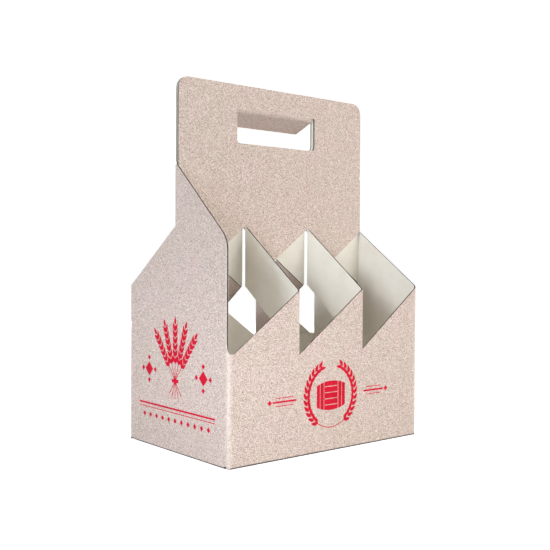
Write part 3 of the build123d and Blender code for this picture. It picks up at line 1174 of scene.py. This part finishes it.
@dataclass(frozen=True)
class Camera:
    """Camera at the photograph's place, fitted to the object's corners.

    Places are in metres, and the lens and its sensor in millimetres.
    """

    place: Point = (-0.45476, -0.55053, 0.15135)
    right: Point = (0.77143, -0.63630, 0.00465)
    up: Point = (0.00921, 0.01848, 0.99979)
    forward: Point = (0.63625, 0.77122, -0.02011)
    lens: float = 55.319
    sensor_width: float = 36.0
    nearest: float = 0.01
    farthest: float = 50.0

    def make(self) -> None:
        """Adds the camera and makes it the scene's."""
        data = bpy.data.cameras.new("camera")
        data.lens = self.lens
        data.sensor_width = self.sensor_width
        data.clip_start, data.clip_end = self.nearest, self.farthest
        camera = add_object("camera", data)
        turn = Matrix((self.right, self.up, [-part for part in self.forward])).transposed()
        camera.matrix_world = Matrix.Translation(self.place) @ turn.to_4x4()
        bpy.context.scene.camera = camera


@dataclass(frozen=True)
class Lamp:
    """A soft square lamp. Metres, watts and, for the width of its beam, degrees."""

    name: str
    place: Point
    target: Point
    size: float
    power: float
    colour: Tint = (1.0, 1.0, 1.0)
    beam: float = 180.0

    def make(self) -> None:
        """Adds the lamp, turned to its target."""
        data = bpy.data.lights.new(self.name, "AREA")
        data.size = self.size
        data.energy = self.power
        data.color = self.colour
        data.spread = math.radians(self.beam)
        lamp = add_object(self.name, data)
        lamp.location = self.place
        beam = Vector(self.target) - Vector(self.place)
        lamp.rotation_euler = beam.to_track_quat("-Z", "Y").to_euler()


@dataclass
class Studio:
    """Plain pale studio: floor and curved backdrop in one, an even sky and soft lamps."""

    floor_reach: float = 3.0
    floor_drop: float = 0.2 * MM
    floor_turn: float = -39.0
    backdrop_height: float = 4.0
    bend: float = 1.0
    bend_steps: int = 16
    sky: Colour = (1.0, 0.92, 0.82, 1.0)
    sky_strength: float = 0.05
    lamps: tuple[Lamp, ...] = (
        Lamp("left_high", (-1.25, -0.03, 0.88), MIDDLE, 0.4, 4.0, COOL),
        Lamp("left", (-1.2, -0.25, 0.78), MIDDLE, 0.4, 8.4, COOL),
        Lamp("left_low", (-1.4, -0.5, 0.35), MIDDLE, 0.6, 1.7, (0.87, 0.93, 1.0)),
        Lamp("front_low", (0.45, -1.1, 0.12), (0.0, 0.0, 0.1), 0.7, 9.9, SOFT),
        Lamp("front_high", (0.2, -1.1, 0.9), MIDDLE, 0.8, 4.6, SOFT),
        Lamp(
            "corner_low",
            (-0.55, -0.45, 0.03),
            (-0.1, -0.06, 0.02),
            0.2,
            0.056,
            (0.93, 0.95, 1.0),
            24.0,
        ),
        Lamp("top", (-0.1, -0.25, 1.4), MIDDLE, 0.5, 0.8, WARM),
        Lamp("rear", (0.35, 1.25, 0.14), MIDDLE, 0.5, 8.6),
        Lamp("rear_high", (0.3, 1.15, 0.8), MIDDLE, 0.5, 3.0),
        Lamp("right", (1.25, 0.3, 0.14), MIDDLE, 0.5, 7.6),
    )

    def floor(self) -> bpy.types.Object:
        """Builds the floor with its backdrop behind the carrier."""
        mesh, reach, bend = bmesh.new(), self.floor_reach, self.bend
        edge = mesh.edges.new([mesh.verts.new((side * reach, -reach, 0)) for side in (-1, 1)])
        edge = draw_edge(mesh, edge, Vector((0, 2 * reach - bend, 0)))
        centre = Vector((0, reach - bend, bend))
        edge = spin_edge(mesh, edge, centre, X_AXIS, QUARTER_TURN, self.bend_steps)
        draw_edge(mesh, edge, Vector((0, 0, self.backdrop_height - bend)))
        turn = Matrix.Rotation(math.radians(self.floor_turn), 3, "Z")
        bmesh.ops.rotate(mesh, verts=mesh.verts, cent=(0, 0, 0), matrix=turn)
        bmesh.ops.translate(mesh, verts=mesh.verts, vec=(0, 0, -self.floor_drop))
        bmesh.ops.recalc_face_normals(mesh, faces=mesh.faces)
        for face in mesh.faces:
            face.smooth = True
        data = bpy.data.meshes.new("studio_floor")
        mesh.to_mesh(data)
        mesh.free()
        data.materials.append(PaleStudio().make())
        return add_object("studio_floor", data)

    def make_sky(self) -> None:
        """Lights the scene evenly, with white where the background is seen."""
        world = bpy.data.worlds.new("sky")
        world.use_nodes = True
        nodes, links = world.node_tree.nodes, world.node_tree.links
        nodes.clear()
        output = nodes.new("ShaderNodeOutputWorld")
        even = nodes.new("ShaderNodeBackground")
        even.inputs["Color"].default_value = self.sky
        even.inputs["Strength"].default_value = self.sky_strength
        white = nodes.new("ShaderNodeBackground")
        white.inputs["Color"].default_value = WHITE
        white.inputs["Strength"].default_value = 1.0
        shown = nodes.new("ShaderNodeMixShader")
        links.new(background_rays(world.node_tree), shown.inputs["Fac"])
        links.new(even.outputs["Background"], shown.inputs[1])
        links.new(white.outputs["Background"], shown.inputs[2])
        links.new(shown.outputs["Shader"], output.inputs["Surface"])
        bpy.context.scene.world = world

    def make(self) -> None:
        """Sets up the floor, the sky, the lamps and the camera."""
        self.floor()
        self.make_sky()
        for lamp in self.lamps:
            lamp.make()
        Camera().make()
        bpy.context.scene.view_settings.view_transform = "Standard"


# Assembly


def dress(piece: bpy.types.Object, finishes: list[bpy.types.Material]) -> None:
    """Puts finishes into a piece's material slots.

    Args:
        piece: The piece, with its faces sorted into slots.
        finishes: One material for each slot.
    """
    if not piece.material_slots:
        for finish in finishes:
            piece.data.materials.append(finish)
    for slot, finish in zip(piece.material_slots, finishes):
        slot.link = "OBJECT"
        slot.material = finish


def main() -> None:
    """Builds and dresses every piece, and reports each one."""
    logging.basicConfig(level=logging.INFO, format="%(message)s")
    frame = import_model()

    board = [PrintedKraft().make(), CreamLiner().make(), CutEdge().make()]
    sheet = BottleCarrier().build()
    dress(sheet, board)
    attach(sheet, "carrier")
    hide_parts("carrier")
    LOG.info("folded sheet: %d faces", len(sheet.data.polygons))

    grip = GripFlap()
    flap = grip.build()
    dress(flap, board)
    start, end = grip.bend_span()
    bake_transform(flap, "carrier", "grip_flap", start=tuple(start), end=tuple(end))
    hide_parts("grip_flap")
    LOG.info("grip flap: %d faces", len(flap.data.polygons))

    ink = RedInk().make()
    for node, piece in frame["nodes"].items():
        if node.endswith("_print"):
            dress(piece, [ink])
            LOG.info("%s: red ink", node)

    Studio().make()
    LOG.info("carrier dressed")


if __name__ == "__main__":
    main()
